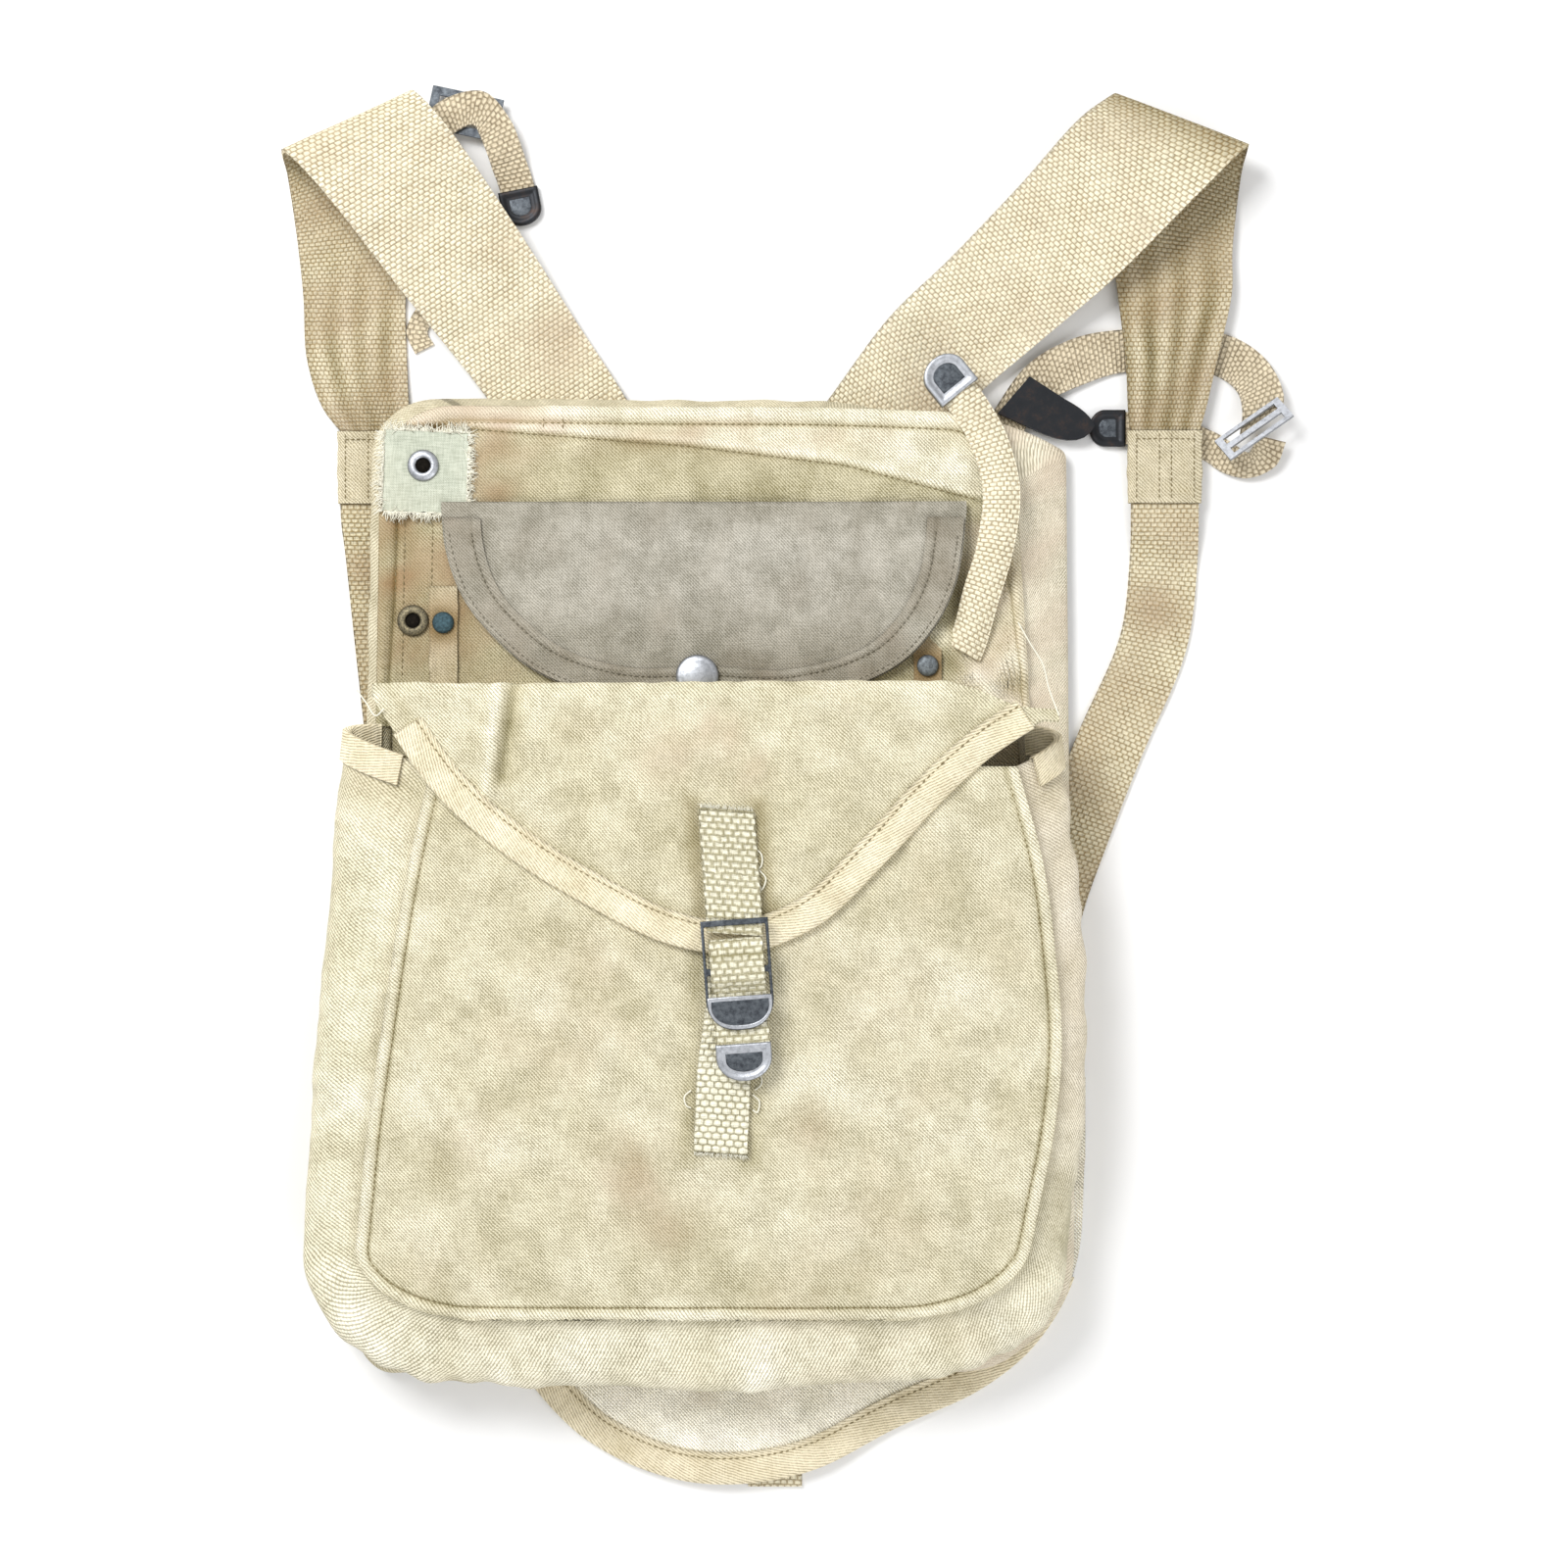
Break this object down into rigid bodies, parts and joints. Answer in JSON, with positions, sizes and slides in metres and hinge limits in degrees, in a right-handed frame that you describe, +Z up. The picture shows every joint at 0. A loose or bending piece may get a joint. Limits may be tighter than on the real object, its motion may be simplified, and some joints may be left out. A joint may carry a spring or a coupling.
{
  "type": "haversack",
  "caption": "Worn canvas haversack laid on its back: buckled front pouch with rounded flap, flat rear compartment with inner flap, wide webbing shoulder straps spread above.",
  "frame": {"origin": "Middle of the footprint of the laid haversack, on the floor it lies on", "axes": "+Y runs from the bag's bottom edge to its shoulder straps, +Z up from the floor through the back panel to the buckled front pouch, +X to the right seen from above"},
  "size_m": [0.473, 0.6594, 0.0706],
  "materials": {
    "canvas": "matte",
    "inner": "matte",
    "webbing": "matte",
    "tape": "matte",
    "patch": "matte",
    "blackened": "satin",
    "zinc": "satin"
  },
  "bodies": {
    "root": {"rear_back_panel": "canvas", "rear_gusset": "canvas", "rear_face_panel": "canvas", "repair_patch": "patch", "grommet_upper": "zinc", "grommet_lower": "zinc", "fly_strip_left": "canvas", "fly_strip_right": "canvas", "stud_left": "blackened", "stud_right": "blackened", "inner_flap": "inner", "inner_flap_facing": "inner", "flap_snap": "zinc", "pouch_front_panel": "canvas", "pouch_gusset": "canvas", "mouth_binding_left": "tape", "mouth_binding_right": "tape", "pouch_flap": "canvas", "pouch_flap_binding": "tape", "flap_tab": "webbing", "buckle": "blackened", "pouch_strap": "webbing", "pouch_strap_tip": "zinc", "back_flap": "canvas", "back_flap_binding": "tape", "back_flap_tab": "webbing", "shoulder_strap_left": "webbing", "shoulder_strap_right": "webbing", "side_strap_left": "webbing", "side_strap_right": "webbing", "strap_sleeve_left": "canvas", "strap_sleeve_right": "canvas", "closing_strap": "webbing", "closing_strap_tip": "zinc", "side_loop": "webbing", "side_slide": "zinc", "side_tail": "webbing", "side_tail_tip": "blackened", "strap_hook": "blackened", "fold_slide": "blackened", "fold_strap": "webbing", "fold_strap_tip": "blackened", "shoulder_loop": "webbing"}
  },
  "joints": []
}
